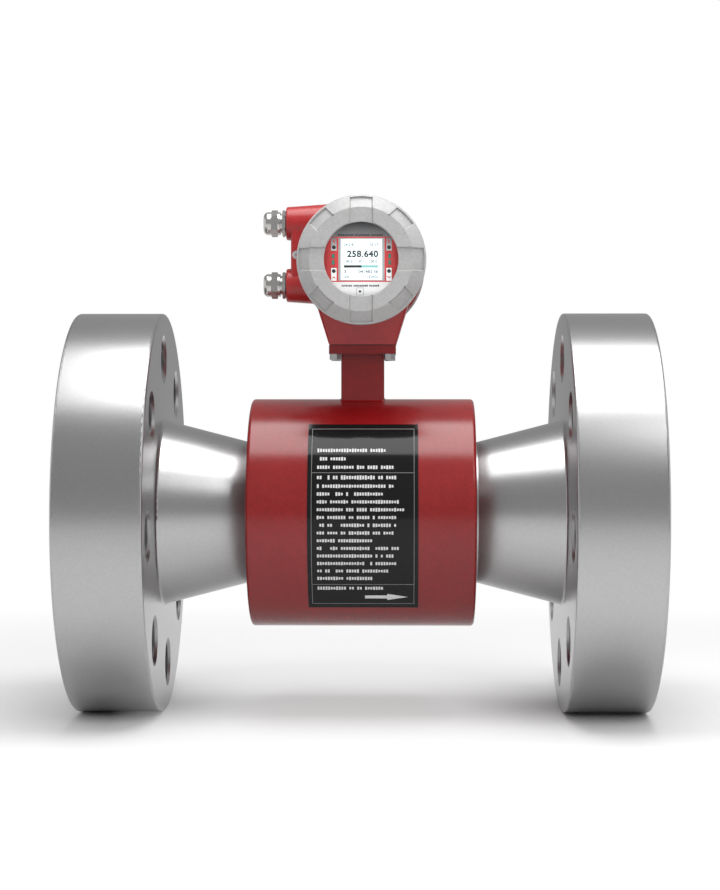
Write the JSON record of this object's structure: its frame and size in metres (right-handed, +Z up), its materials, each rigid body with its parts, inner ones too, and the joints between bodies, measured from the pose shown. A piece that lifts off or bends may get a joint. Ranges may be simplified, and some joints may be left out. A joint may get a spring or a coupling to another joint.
{
  "type": "electromagnetic flow meter",
  "caption": "Lined measuring tube between two thick weld-neck flanges, with a coil drum and a converter head that shows the flow rate behind a window cap.",
  "frame": {"origin": "centre of the flow bore, halfway between the flanges", "axes": "+X along the pipe in the direction of flow, +Z up to the converter, the window faces -Y"},
  "size_m": [0.5842, 0.4, 0.5106],
  "materials": {
    "red_paint": "gloss",
    "flange_steel": "satin",
    "tube_steel": "satin",
    "cap_casting": "matte",
    "nickel": "polished",
    "screw_steel": "satin",
    "liner_plastic": "satin",
    "bush_plastic": "satin",
    "electrode_steel": "polished",
    "spring_steel": "satin",
    "core_iron": "matte",
    "winding": "satin",
    "plate_black": "satin",
    "seal_rubber": "matte",
    "sight_glass": "polished",
    "fascia_film": "satin",
    "display_frame": "satin",
    "display_screen": "gloss",
    "key_film": "gloss",
    "lamp_lens": "gloss",
    "circuit_board": "satin",
    "capacitor_sleeve": "gloss",
    "terminal_plastic": "satin"
  },
  "bodies": {
    "meter": {"measuring_tube": "tube_steel", "liner": "liner_plastic", "left_flange": "flange_steel", "right_flange": "flange_steel", "electrode_front": "electrode_steel", "electrode_rear": "electrode_steel", "electrode_bush_front": "bush_plastic", "electrode_bush_rear": "bush_plastic", "electrode_springs": "spring_steel", "electrode_nuts": "screw_steel", "pole_shoe_upper": "core_iron", "pole_shoe_lower": "core_iron", "coil_upper": "winding", "coil_lower": "winding", "magnet_yoke": "core_iron", "housing_shell": "red_paint", "left_end_plate": "red_paint", "right_end_plate": "red_paint", "nameplate": "plate_black", "neck": "red_paint", "neck_gasket": "seal_rubber", "head_bolts": "screw_steel", "converter_housing": "red_paint", "display_fascia": "fascia_film", "lcd_module": "display_frame", "lcd_screen": "display_screen", "optical_keys": "key_film", "status_lamps": "lamp_lens", "display_board": "circuit_board", "main_board": "circuit_board", "board_standoffs": "screw_steel", "transformer": "core_iron", "capacitors": "capacitor_sleeve", "terminal_block": "terminal_plastic", "terminal_screws": "screw_steel", "gland_washer_upper": "seal_rubber", "gland_body_upper": "nickel", "gland_washer_lower": "seal_rubber", "gland_body_lower": "nickel"},
    "front_cap_seat": {"front_cap_o_ring": "seal_rubber"},
    "rear_cap_seat": {"rear_cap_o_ring": "seal_rubber"},
    "upper_gland_seat": {"gland_seal_upper": "seal_rubber"},
    "lower_gland_seat": {"gland_seal_lower": "seal_rubber"},
    "front_cap": {"front_cap": "cap_casting", "window_gasket": "seal_rubber", "window_glass": "sight_glass", "window_retaining_ring": "screw_steel"},
    "rear_cap": {"rear_cap": "cap_casting"},
    "upper_gland_nut": {"gland_nut_upper": "nickel"},
    "lower_gland_nut": {"gland_nut_lower": "nickel"}
  },
  "joints": [
    {"name": "front_cap_travel", "type": "slide", "parent": "meter", "child": "front_cap_seat", "axis": [0, -1, 0], "range_m": [0, 0.01]},
    {"name": "front_cap_turn", "type": "hinge", "parent": "front_cap_seat", "child": "front_cap", "pos_m": [0, -0.0775, 0.248], "axis": [0, -1, 0], "range_deg": [0, 1800]},
    {"name": "rear_cap_travel", "type": "slide", "parent": "meter", "child": "rear_cap_seat", "axis": [0, 1, 0], "range_m": [0, 0.01]},
    {"name": "rear_cap_turn", "type": "hinge", "parent": "rear_cap_seat", "child": "rear_cap", "pos_m": [0, 0.0655, 0.248], "axis": [0, 1, 0], "range_deg": [0, 1800]},
    {"name": "upper_gland_nut_travel", "type": "slide", "parent": "meter", "child": "upper_gland_seat", "axis": [-1, 0, 0], "range_m": [0, 0.006]},
    {"name": "upper_gland_nut_turn", "type": "hinge", "parent": "upper_gland_seat", "child": "upper_gland_nut", "pos_m": [-0.077, 0, 0.2907], "axis": [-1, 0, 0], "range_deg": [0, 1440]},
    {"name": "lower_gland_nut_travel", "type": "slide", "parent": "meter", "child": "lower_gland_seat", "axis": [-1, 0, 0], "range_m": [0, 0.006]},
    {"name": "lower_gland_nut_turn", "type": "hinge", "parent": "lower_gland_seat", "child": "lower_gland_nut", "pos_m": [-0.077, 0, 0.2285], "axis": [-1, 0, 0], "range_deg": [0, 1440]}
  ],
  "couplings": [
    {"joint": "front_cap_travel", "follows": "front_cap_turn", "m_per_rad": 0.00031831},
    {"joint": "rear_cap_travel", "follows": "rear_cap_turn", "m_per_rad": 0.00031831},
    {"joint": "upper_gland_nut_travel", "follows": "upper_gland_nut_turn", "m_per_rad": 0.00023873},
    {"joint": "lower_gland_nut_travel", "follows": "lower_gland_nut_turn", "m_per_rad": 0.00023873}
  ]
}
